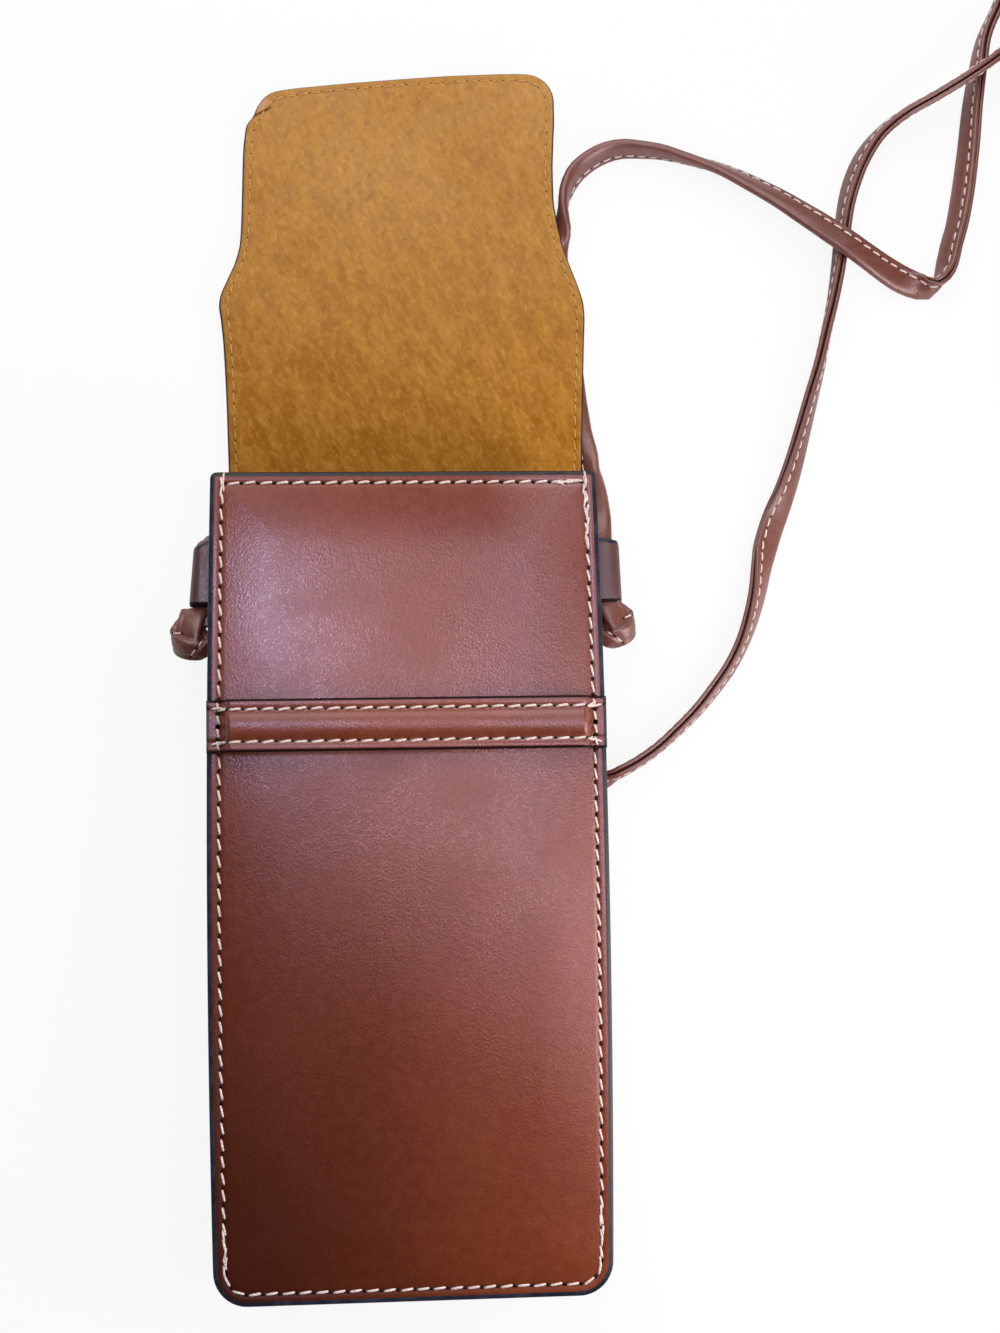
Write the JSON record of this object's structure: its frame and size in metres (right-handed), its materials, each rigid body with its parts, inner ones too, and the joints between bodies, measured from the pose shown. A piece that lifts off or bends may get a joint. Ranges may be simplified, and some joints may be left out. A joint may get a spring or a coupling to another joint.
{
  "type": "sunglasses case",
  "caption": "Slim leather glasses case with a tuck-in flap, a keeper band and a long knotted carrying strap held in side loops.",
  "frame": {"origin": "centre of the lining's floor inside the case, on which the glasses lie", "axes": "+Z from the back panel to the front panel, +Y from the case's foot to its mouth and on along the open flap, +X to the right seen from the front"},
  "size_m": [0.2685, 0.3811, 0.0336],
  "materials": {
    "case_leather": "semi-gloss, fine grain",
    "strap_leather": "semi-gloss, fine grain",
    "suede_lining": "matt suede",
    "stiffener_board": "matt pressed board",
    "stitch_thread": "waxed thread",
    "tie_cord": "matt cord"
  },
  "bodies": {
    "root": {"back_panel": "case_leather", "front_panel": "case_leather", "back_stiffener": "stiffener_board", "front_stiffener": "stiffener_board", "back_lining": "suede_lining", "front_lining": "suede_lining", "gusset": "case_leather", "gusset_lining": "suede_lining", "keeper_band_face": "case_leather", "keeper_band_backing": "case_leather", "left_strap_loop": "case_leather", "right_strap_loop": "case_leather", "front_seam_thread": "stitch_thread", "back_seam_thread": "stitch_thread", "mouth_seam_thread": "stitch_thread", "band_upper_thread": "stitch_thread", "band_lower_thread": "stitch_thread", "strap_left_run": "strap_leather", "strap_right_run": "strap_leather", "strap_coil": "strap_leather", "strap_tie": "tie_cord"},
    "spine": {"flap_spine": "case_leather", "flap_spine_lining": "suede_lining", "left_spine_thread": "stitch_thread", "right_spine_thread": "stitch_thread"},
    "flap": {"flap_shell": "case_leather", "flap_lining": "suede_lining", "flap_seam_thread": "stitch_thread"},
    "left_knot": {"left_knot": "strap_leather"},
    "right_knot": {"right_knot": "strap_leather"}
  },
  "joints": [
    {"name": "spine_fold", "type": "hinge", "parent": "root", "child": "spine", "pos_m": [0, 0.09115, -0.0011], "axis": [1, 0, 0], "range_deg": [0, 90]},
    {"name": "flap_fold", "type": "hinge", "parent": "spine", "child": "flap", "pos_m": [0, 0.11405, -0.0011], "axis": [1, 0, 0], "range_deg": [0, 90]},
    {"name": "left_knot_slide", "type": "slide", "parent": "root", "child": "left_knot", "axis": [0, -1, 0], "range_m": [0, 0.008]},
    {"name": "right_knot_slide", "type": "slide", "parent": "root", "child": "right_knot", "axis": [0, -1, 0], "range_m": [0, 0.008]}
  ]
}
